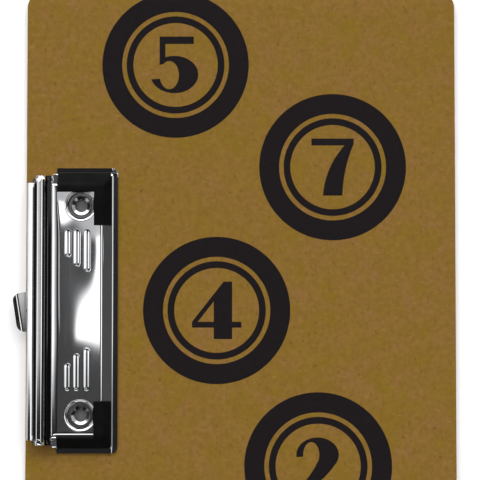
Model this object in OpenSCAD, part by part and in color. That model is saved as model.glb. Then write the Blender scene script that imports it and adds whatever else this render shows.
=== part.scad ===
// Landscape clipboard: a hardboard plate with printed rings and a low clip on its left edge.
// +X runs from the clip across the board, +Y runs along the clip, +Z is up.
// The origin is the middle of the board's back face, on which it lies.

/* [Board] */
// Width of the board, from the clip's edge to the far edge
board_w = 230; // [215:1:320]
// Length of the board, along the clip's edge
board_l = 345; // [280:1:460]
// Thickness of the hardboard
board_t = 3.2; // [2.4:0.1:6]
// Radius of the board's corners
board_corner_r = 9.5; // [2:0.5:25]

/* [Printed rings] */
// Outer radius of each printed ring
ring_r = 39.1; // [28:0.1:42]
// Width of the broad outer band
band_w = 10.7; // [4:0.1:14]
// Bare gap between the broad band and the fine line
band_gap = 2.4; // [1:0.1:5]
// Width of the fine inner line
line_w = 3.6; // [1:0.1:5]
// Thickness of the ink film
ink_t = 0.1; // [0.05:0.01:0.12]

/* [Clip] */
// Overall length of the jaw along the board's edge
jaw_l = 152.4; // [140:0.1:190]
// Thickness of the jaw's and the hang tab's sheet
sheet_t = 0.8; // [0.6:0.05:1]
// Height of the jaw's flat top above the board
jaw_h = 7; // [6.6:0.1:9]
// Distance from the rod to the jaw's front edge
jaw_reach = 41.4; // [40:0.1:50]
// Width of the flat rim along the jaw's front
rim_w = 3.3; // [2:0.1:5]
// Horizontal run of the jaw's front slope
front_run = 5.6; // [4:0.1:7]
// Width of the flat rim along the jaw's ends
side_rim_w = 3.2; // [2:0.1:4]
// Horizontal run of the slopes at the jaw's ends
side_run = 6.2; // [5:0.1:7]
// Gap left under the closed jaw
rest_gap = 0.15; // [0.13:0.01:0.4]
// Radius of the rim's front corners
rim_corner_r = 3; // [1:0.1:5]
// Width of each pressed rib
rib_w = 3; // [2:0.1:3.6]
// Length of the longest pressed rib
rib_l = 22.2; // [10:0.1:24]
// Height of the pressed ribs
rib_h = 0.6; // [0.2:0.1:1]
// Radius of the access holes over the rivets
access_r = 7; // [6:0.1:7.5]
// Width of the dished edge round an access hole
dish_w = 1.6; // [0.8:0.1:1.8]
// Depth of that dished edge
dish_d = 0.9; // [0.3:0.1:1.2]

/* [Hinge] */
// Distance from the board's edge to the rod
rod_inset = 7.7; // [7.5:0.1:12]
// Height of the rod above the board
rod_h = 4.2; // [4.1:0.1:4.4]
// Diameter of the pivot rod
rod_d = 3; // [2.6:0.1:3]
// Radial running clearance of the rod in its ears
rod_fit = 0.05; // [0.03:0.01:0.08]
// Distance from the rod to the lever's rear edge
lever_reach = 6.8; // [6.4:0.1:7]
// Radius of the rolled hem along the lever's rear edge
hem_r = 0.9; // [0.7:0.05:1]
// Diameter of the springs' wire
wire_d = 1; // [0.8:0.05:1]
// Number of whole turns in each spring
spring_turns = 7; // [4:1:9]

/* [Base and rivets] */
// Thickness of the base plate
plate_t = 0.8; // [0.6:0.05:0.9]
// Distance from the rod to the rivets
rivet_reach = 21.8; // [20:0.1:23]
// Distance of each rivet from the jaw's end
rivet_inset = 20.2; // [19.7:0.1:22]
// Radius of a rivet's tubular shank
shank_r = 3.5; // [3:0.1:3.6]
// Radius of a rivet's rolled ring
roll_r = 5.35; // [4.6:0.05:5.6]
// Radius of a rivet's flat head in the board's back
head_r = 5; // [4.4:0.1:7]
// Thickness of that flat head
head_t = 0.8; // [0.5:0.1:1.2]

/* [Corner grips] */
// Thickness of the rubber skin
grip_t = 1.2; // [0.8:0.1:2]
// Length of a grip along the jaw's end
grip_side_l = 28.8; // [15:0.1:29]
// Length of a grip along the jaw's front, from the jaw's end
grip_front_l = 29.2; // [26:0.1:33]
// Width by which a grip lies on the jaw's flat top
grip_lap = 4; // [3.6:0.1:4.4]

/* [Hang tab] */
// Width of the hang tab's outer part
tab_w = 21; // [16:0.1:22]
// Length of the hang tab
tab_l = 27.5; // [27:0.1:30]
// Angle by which the tab stands askew
tab_skew = 9; // [0:0.5:10]
// Distance from the board's edge to the middle of the tab's outer edge
tab_out = 5.7; // [4:0.1:6]
// Radius of the hanging hole
hang_hole_r = 2.2; // [1.5:0.05:2.6]
// Height of the tab's turned-up lip
lip_h = 3; // [1.5:0.1:3.2]
// Travel of the tab, pulled out from where it rests
tab_pull = 8; // [4:0.1:8]
// Travel of the tab, pushed in from where it rests
tab_push = 2.5; // [0:0.1:2.5]

/* [Hidden] */
$fn = 64;

// Every cut runs this far past what it cuts
cut = 2;

// Middle of each printed ring, as shares of the board's width and length
ring_place_shares = [[-0.153, 0.383], [0.214, 0.223], [-0.0565, 0], [0.179, -0.241], [-0.183, -0.384]];

// The rod's axis, from which the whole clip is set out
pivot_x = rod_inset - board_w / 2;
pivot_z = board_t + rod_h;
rod_r = rod_d / 2;

// Each spring's coil goes round the rod, and the jaw's barrel goes round the coil
coil_play = 0.3;
barrel_play = 0.2;
coil_r = rod_r + coil_play + wire_d / 2;
barrel_r = coil_r + wire_d / 2 + barrel_play + sheet_t;

// Lines of the jaw's lengthways section, from the front edge back to the groove before the barrel
front_x = pivot_x + jaw_reach;
foot_x = front_x - rim_w;
crest_x = foot_x - front_run;
groove_run = 4.9;
groove_half_w = 0.4;
heel_run = 1.4;
groove_x = pivot_x + groove_run;
heel_x = groove_x + heel_run;
groove_d = 2;
foot_z = board_t + rest_gap;
rim_z = foot_z + sheet_t;
crest_z = board_t + jaw_h;
groove_z = crest_z - groove_d;
foot_bend = 0.8;
crest_bend = 2;
heel_bend = 0.9;
groove_bend = 0.35;
bend_steps = 5;

// The barrel leaves the groove and meets the lever at this angle above the level
barrel_angle = 25;
barrel_steps = 13;
hem_rise = 0.4;
hem_x = pivot_x - lever_reach + hem_r;
hem_z = pivot_z + hem_rise;

// Lines of the jaw's crossways section
half_l = jaw_l / 2;
side_foot_y = half_l - side_rim_w;
side_crest_y = side_foot_y - side_run;

// The jaw's ears stand at its ends, and the base plate's ears just inside them
ear_inset = 4.3;
ear_gap = 0.3;
ear_y = half_l - ear_inset;
ear_web = 2;
ear_lift = 1;
jaw_ear_in_y = ear_y - sheet_t;
plate_half_l = jaw_ear_in_y - ear_gap;
plate_ear_r = barrel_r - sheet_t - ear_gap;
jaw_ear_r = barrel_r - sheet_t / 2;

// The lever is shorter than the barrel, and the end rims stop before the barrel
lever_inset = 7.3;
lever_half_l = half_l - lever_inset;
lever_corner = 2.6;
rim_stop = 8.8;
nick_stop = 6.6;

// Rivets
rivet_x = pivot_x + rivet_reach;
rivet_y = half_l - rivet_inset;
rivet_fit = 0.05;
rivet_recess = 0.1;
roll_h = 1.3;
tube_wall = 0.7;
tube_floor = 0.8;
roll_steps = 12;

// Ribs: places across the flat top and lengths, as shares; their outer ends are in one line
rib_place_shares = [0.33, 0.51, 0.72];
rib_length_shares = [0.64, 0.87, 1];
rib_end_gap = 4.6;
rib_end_y = rivet_y - access_r - dish_w - rib_end_gap;

// Base plate
plate_z = board_t + plate_t;
plate_rear = 4.2;
plate_front_gap = 3.3;
plate_rear_x = pivot_x - plate_rear;
plate_front_x = foot_x - plate_front_gap;

// Hang tab and the bridge under which it slides
slide_gap = 0.1;
tab_y = -1.7;
tab_x = -board_w / 2 - tab_out;
tongue_inset = 1.5;
tab_corner_r = 4;
lip_run = 0.6;
lip_bend = 2.4;
hole_inset = 8.1;
stud_r = 1.5;
stud_play = 0.2;
stud_gap = 1.5;
stud_inset = hole_inset + hang_hole_r + stud_gap + stud_r + stud_play + tab_push;
channel_room = 3.1;
channel_half_w = tab_w / 2 + channel_room;
channel_end_gap = 0.7;
channel_z = board_t + 2 * slide_gap + sheet_t;
channel_end_x = tab_x + (tab_l + tab_push) * cos(tab_skew) + (tab_w / 2 - tongue_inset) * sin(tab_skew)
    + channel_end_gap;

// Rubber pegs that hold each grip in two holes of the jaw
peg_r = 1;
peg_fit = 0.05;
peg_head_r = 1.5;
peg_head_t = 0.8;
peg_head_drop = 0.7;
peg_inset = 1.6;
peg_rivet_gap = 6;
grip_foot_gap = 0.3;

// Springs
coil_gap = 0.55;
coil_pitch = wire_d + coil_gap;
curl_rings = 8;
wire_sides = 6;
leg_angle = 45;
spring_side_gap = 12.6;
// The upper leg leaves the coil by this share of its radius, and drops and rises by shares of the wire
leg_off_share = 1.9;
leg_low_share = 0.2;
leg_mid_share = 0.25;
spring_y = channel_half_w + plate_t + spring_side_gap;
leg_gap = 0.15;

// The unit vector from one point to another
function unit(v) = v / norm(v);

// One corner of a path, rounded by a curve that starts and ends ease before it
function corner(rows, i) =
    let (b = [rows[i][0], rows[i][1]], ease = rows[i][2])
    i == 0 || i == len(rows) - 1 || ease == 0 ? [b] :
    let (
        a = b + ease * unit([rows[i - 1][0], rows[i - 1][1]] - b),
        c = b + ease * unit([rows[i + 1][0], rows[i + 1][1]] - b)
    )
    [for (k = [0:bend_steps]) let (s = k / bend_steps) (1 - s) * (1 - s) * a + 2 * s * (1 - s) * b + s * s * c];

// A path of points from rows of [across, up, ease]
function eased(rows) = [for (i = [0:len(rows) - 1]) each corner(rows, i)];

// The same path moved by a distance to its left hand
function inset(path, distance) = [
    for (i = [0:len(path) - 1])
        let (
            before = i == 0 ? unit(path[1] - path[0]) : unit(path[i] - path[i - 1]),
            after = i == len(path) - 1 ? before : unit(path[i + 1] - path[i]),
            way = unit(before + after),
            left = [-way[1], way[0]]
        )
        path[i] + distance / (left * [-before[1], before[0]]) * left
];

function backwards(path) = [for (i = [len(path) - 1:-1:0]) path[i]];

// Outlines of a bent sheet, and of everything below a path down to a level
function sheet(path, thickness) = concat(path, backwards(inset(path, thickness)));
function below(path, level) = concat(path, [[path[len(path) - 1][0], level], [path[0][0], level]]);

// Solids of an outline in the lengthways plane (X, Z) and in the crossways plane (Y, Z)
module across(length) {
    rotate([90, 0, 0])
        linear_extrude(height = length, center = true)
            children();
}

module along(from_x, to_x) {
    translate([from_x, 0, 0])
        rotate([90, 0, 90])
            linear_extrude(height = to_x - from_x)
                children();
}

// A rectangle from one corner to the other, with round corners
module round_rect(low, high, r) {
    translate([low[0] + r, low[1]])
        square([high[0] - low[0] - 2 * r, high[1] - low[1]]);
    translate([low[0], low[1] + r])
        square([high[0] - low[0], high[1] - low[1] - 2 * r]);
    for (x = [low[0] + r, high[0] - r], y = [low[1] + r, high[1] - r])
        translate([x, y])
            circle(r);
}

module board_outline() {
    round_rect([-board_w / 2, -board_l / 2], [board_w / 2, board_l / 2], board_corner_r);
}

// The jaw's lengthways path: rim, front slope, flat top and the drop into the groove
tray_rows = [
    [front_x, rim_z, 0],
    [foot_x, rim_z, foot_bend],
    [crest_x, crest_z, crest_bend],
    [heel_x, crest_z, heel_bend],
    [groove_x + groove_half_w, groove_z, groove_bend],
    [groove_x, groove_z, 0],
];
// The same with the front slope run on below the rim, for the hollow
hollow_rows = [
    [2 * foot_x - crest_x, 2 * rim_z - crest_z, 0],
    [crest_x, crest_z, crest_bend],
    [heel_x, crest_z, heel_bend],
    [groove_x + groove_half_w, groove_z, groove_bend],
    [groove_x, groove_z, 0],
    [groove_x - cut, groove_z, 0],
];
hollow_z = 2 * rim_z - crest_z;

// The crossways path of one end, and its mirror
side_rows = [
    [half_l, rim_z, 0],
    [side_foot_y, rim_z, foot_bend],
    [side_crest_y, crest_z, crest_bend],
    [0, crest_z, 0],
];
side_hollow_rows = [
    [2 * side_foot_y - side_crest_y, hollow_z, 0],
    [side_crest_y, crest_z, crest_bend],
    [0, crest_z, 0],
];
function mirrored(path) = concat(path, [for (i = [len(path) - 2:-1:0]) [-path[i][0], path[i][1]]]);

tray_path = eased(tray_rows);
side_path = mirrored(eased(side_rows));
hollow_path = inset(eased(hollow_rows), sheet_t);
side_hollow_path = mirrored(inset(eased(side_hollow_rows), sheet_t));

// From the groove over the barrel to the lever's hem
function on_barrel(a) = [pivot_x + barrel_r * cos(a), pivot_z + barrel_r * sin(a)];
barrel_path = concat(
    [[groove_x, groove_z]],
    corner([[groove_x, groove_z, 0], [groove_x - groove_half_w, groove_z, groove_bend],
        concat(on_barrel(barrel_angle), [0])], 1),
    [for (k = [0:barrel_steps]) on_barrel(barrel_angle + (180 - 2 * barrel_angle) * k / barrel_steps)],
    [[hem_x, hem_z + hem_r]]
);

// The whole block under the jaw's top, grown outwards by an amount; the hollow under it is cut away
module jaw_block(grow) {
    intersection() {
        across(jaw_l + cut)
            polygon(below(inset(tray_path, -grow), foot_z));
        along(groove_x, front_x + cut)
            polygon(below(inset(side_path, -grow), foot_z));
    }
}

module jaw_hollow() {
    intersection() {
        across(jaw_l + cut)
            polygon(below(hollow_path, hollow_z - cut));
        along(groove_x - cut, front_x + cut)
            polygon(below(side_hollow_path, hollow_z - cut));
    }
}

// Barrel and lever, with the lever's corners taken off
module jaw_rear() {
    intersection() {
        across(2 * ear_y)
            polygon(sheet(barrel_path, sheet_t));
        translate([0, 0, board_t])
            linear_extrude(height = 2 * jaw_h)
                polygon([
                    for (end = [1, -1]) each
                        end > 0 ? lever_outline() : backwards([for (p = lever_outline()) [p[0], -p[1]]])
                ]);
    }
    translate([hem_x, 0, hem_z])
        rotate([90, 0, 0])
            cylinder(r = hem_r, h = 2 * lever_half_l, center = true);
}

function lever_outline() = [
    [groove_x + cut, ear_y],
    [pivot_x - barrel_r + lever_corner, ear_y],
    [pivot_x - barrel_r, (ear_y + lever_half_l) / 2],
    [pivot_x - barrel_r, lever_half_l],
    [hem_x - cut, lever_half_l],
];

// One ear of the jaw, a round end on the rod with a web to the tray
module jaw_ear(end) {
    translate([0, end > 0 ? ear_y : -jaw_ear_in_y, 0])
        rotate([90, 0, 0])
            linear_extrude(height = sheet_t)
                difference() {
                    union() {
                        translate([pivot_x, pivot_z])
                            circle(jaw_ear_r);
                        translate([pivot_x, board_t + ear_lift])
                            square([groove_run + ear_web, groove_z - board_t - ear_lift - sheet_t / 2]);
                    }
                    translate([pivot_x, pivot_z])
                        circle(rod_r + rod_fit);
                }
}

// Takes the rims and slopes away behind where they stop
module end_trim(end) {
    for (step = [[rim_stop, side_foot_y], [nick_stop, ear_y]])
        translate([groove_x - cut, end > 0 ? step[1] : -half_l - cut, foot_z - cut])
            cube([pivot_x + step[0] - groove_x + cut, half_l + cut - step[1], jaw_h + cut]);
}

module ribs() {
    for (end = [1, -1], k = [0:len(rib_place_shares) - 1])
        let (
            x = crest_x + (heel_x - crest_x) * (1 - rib_place_shares[k]),
            l = rib_l * rib_length_shares[k],
            r = rib_w / 2
        )
        translate([x, end * (rib_end_y - l / 2), crest_z - sheet_t / 2]) {
            translate([-r, r - l / 2, 0])
                cube([rib_w, l - rib_w, rib_h + sheet_t / 2]);
            for (tip = [1, -1])
                translate([0, tip * (l / 2 - r), 0])
                    cylinder(r = r, h = rib_h + sheet_t / 2);
        }
}

// Places of a grip's two pegs
function peg_places(end) = [
    for (y = [rivet_y - peg_rivet_gap, rivet_y + peg_rivet_gap]) [crest_x - peg_inset, end * y]
];

module jaw_plate() {
    color("gainsboro") {
        difference() {
            union() {
                difference() {
                    jaw_block(0);
                    jaw_hollow();
                }
                ribs();
            }
            for (end = [1, -1]) {
                end_trim(end);
                translate([rivet_x, end * rivet_y, board_t + ear_lift])
                    cylinder(r = access_r + dish_w, h = 2 * jaw_h);
                for (p = peg_places(end))
                    translate([p[0], p[1], crest_z - sheet_t - cut])
                        cylinder(r = peg_r + peg_fit, h = sheet_t + 2 * cut);
                front_corner_cut(end);
            }
        }
        for (end = [1, -1]) {
            dish(end);
            jaw_ear(end);
        }
        jaw_rear();
    }
}

// The waste outside a round front corner of the rim
module front_corner_cut(end) {
    translate([front_x - rim_corner_r, end * (half_l - rim_corner_r), foot_z - cut])
        mirror([0, end > 0 ? 0 : 1, 0])
            difference() {
                cube([rim_corner_r + cut, rim_corner_r + cut, rim_z - foot_z + 2 * cut]);
                cylinder(r = rim_corner_r, h = rim_z - foot_z + 2 * cut);
            }
}

// The dished edge of an access hole
module dish(end) {
    translate([rivet_x, end * rivet_y, crest_z])
        rotate_extrude()
            polygon([
                [access_r, -dish_d],
                [access_r + dish_w, 0],
                [access_r + dish_w, -sheet_t],
                [access_r, -dish_d - sheet_t],
            ]);
}

// A grip follows the jaw's outside from the rim's bend up over the corner
module corner_grip(end) {
    side_y = half_l - side_rim_w - grip_foot_gap;
    color([0.09, 0.09, 0.1]) {
        difference() {
            intersection() {
                jaw_block(grip_t);
                translate([0, 0, rim_z])
                    linear_extrude(height = 2 * jaw_h)
                        grip_outline(end, side_y);
            }
            jaw_block(0);
        }
        for (p = peg_places(end))
            translate([p[0], p[1], crest_z - sheet_t - peg_head_drop - peg_head_t]) {
                cylinder(r = peg_r, h = sheet_t + peg_head_drop + peg_head_t + grip_t / 2);
                cylinder(r = peg_head_r, h = peg_head_t);
            }
    }
}

module grip_outline(end, side_y) {
    grip_x = foot_x - grip_foot_gap;
    inner_y = half_l - grip_front_l;
    mirror([0, end > 0 ? 0 : 1]) {
        translate([crest_x - grip_lap, inner_y])
            square([grip_x - crest_x + grip_lap, side_y - inner_y]);
        translate([grip_x - grip_side_l, side_crest_y + grip_foot_gap])
            square([grip_side_l, side_y - side_crest_y - grip_foot_gap]);
    }
}

module corner_grip_upper() { corner_grip(1); }
module corner_grip_lower() { corner_grip(-1); }

module board() {
    color([0.54, 0.41, 0.2])
        difference() {
            linear_extrude(height = board_t)
                board_outline();
            for (end = [1, -1])
                translate([rivet_x, end * rivet_y, 0]) {
                    translate([0, 0, -cut])
                        cylinder(r = shank_r + rivet_fit, h = board_t + 2 * cut);
                    translate([0, 0, -cut])
                        cylinder(r = head_r + rivet_fit, h = rivet_recess + head_t + cut);
                }
        }
}

module printed_rings() {
    line_r = ring_r - band_w - band_gap;
    color([0.13, 0.12, 0.13])
        translate([0, 0, board_t])
            linear_extrude(height = ink_t)
                intersection() {
                    board_outline();
                    for (share = ring_place_shares)
                        translate([share[0] * board_w, share[1] * board_l]) {
                            difference() {
                                circle(ring_r);
                                circle(ring_r - band_w);
                            }
                            difference() {
                                circle(line_r);
                                circle(line_r - line_w);
                            }
                        }
                }
}

// Flat plate with end ears, and a bridge over the tab's channel with a stud pressed down in it
module base_plate() {
    color("silver")
        difference() {
            union() {
                translate([plate_rear_x, -plate_half_l, board_t])
                    cube([plate_front_x - plate_rear_x, 2 * plate_half_l, plate_t]);
                translate([plate_rear_x, -channel_half_w - plate_t, board_t])
                    cube([
                        channel_end_x + plate_t - plate_rear_x,
                        2 * (channel_half_w + plate_t),
                        channel_z - board_t + plate_t
                    ]);
                for (end = [1, -1])
                    translate([0, end > 0 ? plate_half_l : sheet_t - plate_half_l, 0])
                        rotate([90, 0, 0])
                            linear_extrude(height = sheet_t) {
                                translate([pivot_x, pivot_z])
                                    circle(plate_ear_r);
                                translate([pivot_x - plate_ear_r, board_t])
                                    square([2 * plate_ear_r, rod_h]);
                            }
            }
            difference() {
                translate([plate_rear_x - cut, -channel_half_w, board_t - cut])
                    cube([channel_end_x - plate_rear_x + cut, 2 * channel_half_w, channel_z - board_t + cut]);
                translate([stud_place()[0], stud_place()[1], board_t + slide_gap])
                    cylinder(r = stud_r, h = rod_h);
            }
            translate([pivot_x, 0, pivot_z])
                rotate([90, 0, 0])
                    cylinder(r = rod_r + rod_fit, h = jaw_l, center = true);
            for (end = [1, -1])
                translate([rivet_x, end * rivet_y, board_t - cut])
                    cylinder(r = shank_r + rivet_fit, h = plate_t + 2 * cut);
        }
}

module rivet(end) {
    roll_w = roll_r - shank_r + tube_wall;
    roll_x = roll_r - roll_w / 2;
    color("gainsboro")
        translate([rivet_x, end * rivet_y, 0])
            rotate_extrude()
                polygon(concat(
                    [
                        [0, rivet_recess],
                        [head_r, rivet_recess],
                        [head_r, rivet_recess + head_t],
                        [shank_r, rivet_recess + head_t],
                        [shank_r, plate_z],
                    ],
                    [
                        for (k = [0:roll_steps])
                            let (a = 180 * k / roll_steps)
                            [roll_x + roll_w / 2 * cos(a), plate_z + roll_h * sin(a)]
                    ],
                    [
                        [shank_r - tube_wall, rivet_recess + head_t + tube_floor],
                        [0, rivet_recess + head_t + tube_floor],
                    ]
                ));
}

module rivet_upper() { rivet(1); }
module rivet_lower() { rivet(-1); }

module pivot_rod() {
    rod_head_r = rod_r + sheet_t / 2;
    color("silver")
        translate([pivot_x, 0, pivot_z])
            rotate([90, 0, 0]) {
                cylinder(r = rod_r, h = 2 * (ear_y + 2 * slide_gap), center = true);
                for (end = [1, -1])
                    translate([0, 0, end * (ear_y + 2 * slide_gap + sheet_t / 2)])
                        cylinder(r = rod_head_r, h = sheet_t, center = true);
            }
}

// The tab's own frame: its outer edge is at 0 and it runs back along -X
module in_tab_frame() {
    translate([tab_x, tab_y, board_t + slide_gap])
        rotate([0, 0, 180 + tab_skew])
            children();
}

function stud_place() = [tab_x + stud_inset * cos(tab_skew), tab_y + stud_inset * sin(tab_skew)];

module hang_tab() {
    tab_path = eased([
        [-tab_l, 0, 0],
        [-lip_run, 0, lip_bend],
        [0, lip_h, 0],
    ]);
    slot_r = stud_r + stud_play;
    body_l = stud_inset - stud_r;
    color("silver")
        in_tab_frame()
            difference() {
                intersection() {
                    across(2 * tab_w)
                        polygon(sheet(tab_path, sheet_t));
                    translate([0, 0, -cut])
                        linear_extrude(height = lip_h + 2 * cut) {
                            round_rect([-body_l, -tab_w / 2], [0, tab_w / 2], tab_corner_r);
                            translate([-tab_l, tongue_inset - tab_w / 2])
                                square([tab_l - body_l + tab_corner_r, tab_w - 2 * tongue_inset]);
                        }
                }
                translate([-hole_inset, 0, -cut])
                    cylinder(r = hang_hole_r, h = sheet_t + 2 * cut);
                for (x = [tab_push - stud_inset, -tab_pull - stud_inset])
                    translate([x, 0, -cut])
                        cylinder(r = slot_r, h = sheet_t + 2 * cut);
                translate([-tab_pull - stud_inset, -slot_r, -cut])
                    cube([tab_pull + tab_push, 2 * slot_r, sheet_t + 2 * cut]);
            }
}

// A spring's route from its lower leg's tip, round the rod and out to its upper leg's tip
function coil_point(a, y) = [pivot_x + coil_r * cos(a), y, pivot_z + coil_r * sin(a)];
function spring_route() =
    let (
        turn = spring_turns * 360 - 90 - leg_angle,
        steps = ceil(turn * curl_rings / 360),
        end_y = spring_y + coil_pitch * turn / 360,
        low_z = plate_z + wire_d / 2 + leg_gap,
        high_z = crest_z - sheet_t - wire_d / 2 - leg_gap,
        off = coil_point(leg_angle, end_y),
        dip = off + coil_r * leg_off_share * [sin(leg_angle), 0, -cos(leg_angle)]
    )
    concat(
        [
            [pivot_x + rivet_reach / 2, spring_y, low_z],
            [pivot_x + rivet_reach / 2 - wire_d, spring_y, low_z],
            [pivot_x + coil_r, spring_y, low_z + wire_d * leg_low_share],
        ],
        [for (k = [0:steps]) coil_point(-90 - turn * k / steps, spring_y + coil_pitch * turn * k / steps / 360)],
        [
            dip,
            [dip[0] + coil_r, end_y, dip[2] + wire_d * leg_mid_share],
            [dip[0] + 2 * coil_r, end_y, (dip[2] + high_z) / 2],
            [dip[0] + 3 * coil_r, end_y, high_z - wire_d * leg_mid_share],
            [dip[0] + 4 * coil_r, end_y, high_z],
            [dip[0] + 4 * coil_r + wire_d, end_y, high_z],
        ]
    );

// An unbroken tube along a route whose curls lie round the Y direction
module tube(route, r, sides) {
    last = len(route) - 1;
    points = [
        for (i = [0:last])
            let (
                way = unit(route[min(i + 1, last)] - route[max(i - 1, 0)]),
                out = unit(cross(way, [0, 1, 0])),
                aside = cross(out, way)
            )
            for (k = [0:sides - 1])
                route[i] + r * (cos(360 * k / sides) * out + sin(360 * k / sides) * aside)
    ];
    walls = [
        for (i = [0:last - 1], k = [0:sides - 1])
            let (a = i * sides + k, b = i * sides + (k + 1) % sides)
            each [[a, b, b + sides], [a, b + sides, a + sides]]
    ];
    caps = [
        for (k = [1:sides - 2])
            each [[0, k + 1, k], [last * sides, last * sides + k, last * sides + k + 1]]
    ];
    polyhedron(points = points, faces = concat(walls, caps));
}

// Least gap between turns, measured between points at least half a curl apart
route = spring_route();
near_rings = curl_rings / 2;
least_gap = min([
    for (i = [0:len(route) - 1], j = [0:len(route) - 1]) if (j > i + near_rings) norm(route[i] - route[j])
]) - wire_d;
echo(spring_least_gap = least_gap);

module spring_upper() {
    color("dimgray")
        tube(route, wire_d / 2, wire_sides);
}

module spring_lower() {
    mirror([0, 1, 0])
        spring_upper();
}

board();
printed_rings();
base_plate();
rivet_upper();
rivet_lower();
pivot_rod();
spring_upper();
spring_lower();
jaw_plate();
corner_grip_upper();
corner_grip_lower();
hang_tab();
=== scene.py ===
import math

import bmesh
import bpy
import numpy as np
from mathutils import Matrix, Vector
from mathutils.geometry import tessellate_polygon


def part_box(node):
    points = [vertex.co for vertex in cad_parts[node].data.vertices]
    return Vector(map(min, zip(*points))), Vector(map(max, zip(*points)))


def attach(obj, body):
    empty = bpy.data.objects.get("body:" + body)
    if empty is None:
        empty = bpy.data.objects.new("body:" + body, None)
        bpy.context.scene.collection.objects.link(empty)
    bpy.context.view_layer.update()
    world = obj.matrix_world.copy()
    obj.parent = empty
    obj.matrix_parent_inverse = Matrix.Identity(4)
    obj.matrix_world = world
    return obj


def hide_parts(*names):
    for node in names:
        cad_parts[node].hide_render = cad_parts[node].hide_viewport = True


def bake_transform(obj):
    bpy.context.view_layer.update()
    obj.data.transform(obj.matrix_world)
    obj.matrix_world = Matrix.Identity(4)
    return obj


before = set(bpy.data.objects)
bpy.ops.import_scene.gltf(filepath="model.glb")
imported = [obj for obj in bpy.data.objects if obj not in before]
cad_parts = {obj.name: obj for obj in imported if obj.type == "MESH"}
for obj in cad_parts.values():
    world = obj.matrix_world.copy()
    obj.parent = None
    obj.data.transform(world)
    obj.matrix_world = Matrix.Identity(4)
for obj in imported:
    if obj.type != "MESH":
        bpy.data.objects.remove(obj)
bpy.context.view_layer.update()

# Board: a sheet of pressed hardboard, sawn to size with round corners and eased edges.
# Two holes are drilled through it for the rivets, and counterbored from the back so that
# the rivets' flat heads lie just inside it. It is the colour of damp cardboard all through.
mm = 0.001
board_corner_r = 9.5 * mm
board_ease = 0.45 * mm
drill_r = 3.55 * mm
counterbore_r = 5.05 * mm
counterbore_depth = 0.9 * mm
chip_depth = 0.05 * mm


def from_screen(red, green, blue):
    """A colour as it shows on a screen, from 0 to 255, as the light that it stands for."""
    shares = [level / 255 for level in (red, green, blue)]
    light = [s / 12.92 if s <= 0.04045 else ((s + 0.055) / 1.055) ** 2.4 for s in shares]
    return (*light, 1)


def add(tree, kind, sockets=(), **settings):
    """One shader node. Each entry of sockets is a value, or the output that feeds it."""
    made = tree.nodes.new("ShaderNode" + kind)
    for name, value in settings.items():
        setattr(made, name, value)
    for name, value in dict(sockets).items():
        if isinstance(value, bpy.types.NodeSocket):
            tree.links.new(value, made.inputs[name])
        else:
            made.inputs[name].default_value = value
    return made


def new_finish(name):
    """An empty material with its shader, and the place on the piece in metres."""
    finish = bpy.data.materials.new(name)
    finish.use_nodes = True
    tree = finish.node_tree
    shader = tree.nodes["Principled BSDF"]
    return finish, tree, shader, tree.nodes.new("ShaderNodeTexCoord").outputs["Object"]


def speckle(tree, place, per_metre, low, high, detail=4, stretch=(1, 1, 1), turn=0):
    """Cloudy noise, spread out so that it runs from 0 to 1 between two of its levels."""
    laid = add(tree, "Mapping", {"Vector": place, "Scale": stretch, "Rotation": (0, 0, turn)})
    noise = add(tree, "TexNoise", {"Vector": laid.outputs[0], "Scale": per_metre, "Detail": detail})
    spread = add(tree, "MapRange", {"Value": noise.outputs[0], "From Min": low, "From Max": high})
    return spread.outputs[0]


def mix(tree, share, first, second):
    """Two colours mixed by a share."""
    made = add(tree, "Mix", data_type="RGBA")
    for socket, value in ((made.inputs[0], share), (made.inputs[6], first), (made.inputs[7], second)):
        if isinstance(value, bpy.types.NodeSocket):
            tree.links.new(value, socket)
        else:
            socket.default_value = value
    return made.outputs[2]


def roughened(tree, shader, height, depth, share=1.0):
    """Raises the surface by a height of 0 to 1 times a depth in metres."""
    bump = add(tree, "Bump", {"Height": height, "Distance": depth, "Strength": share})
    tree.links.new(bump.outputs[0], shader.inputs["Normal"])


red_brown = from_screen(145, 105, 63)
olive_brown = from_screen(134, 108, 27)
patch_brown = from_screen(141, 108, 47)
chip_brown = from_screen(129, 98, 37)
fibre_brown = from_screen(121, 91, 36)
straw_brown = from_screen(148, 114, 59)
fleck_brown = from_screen(103, 76, 26)
flecks_per_metre = 300


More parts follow.
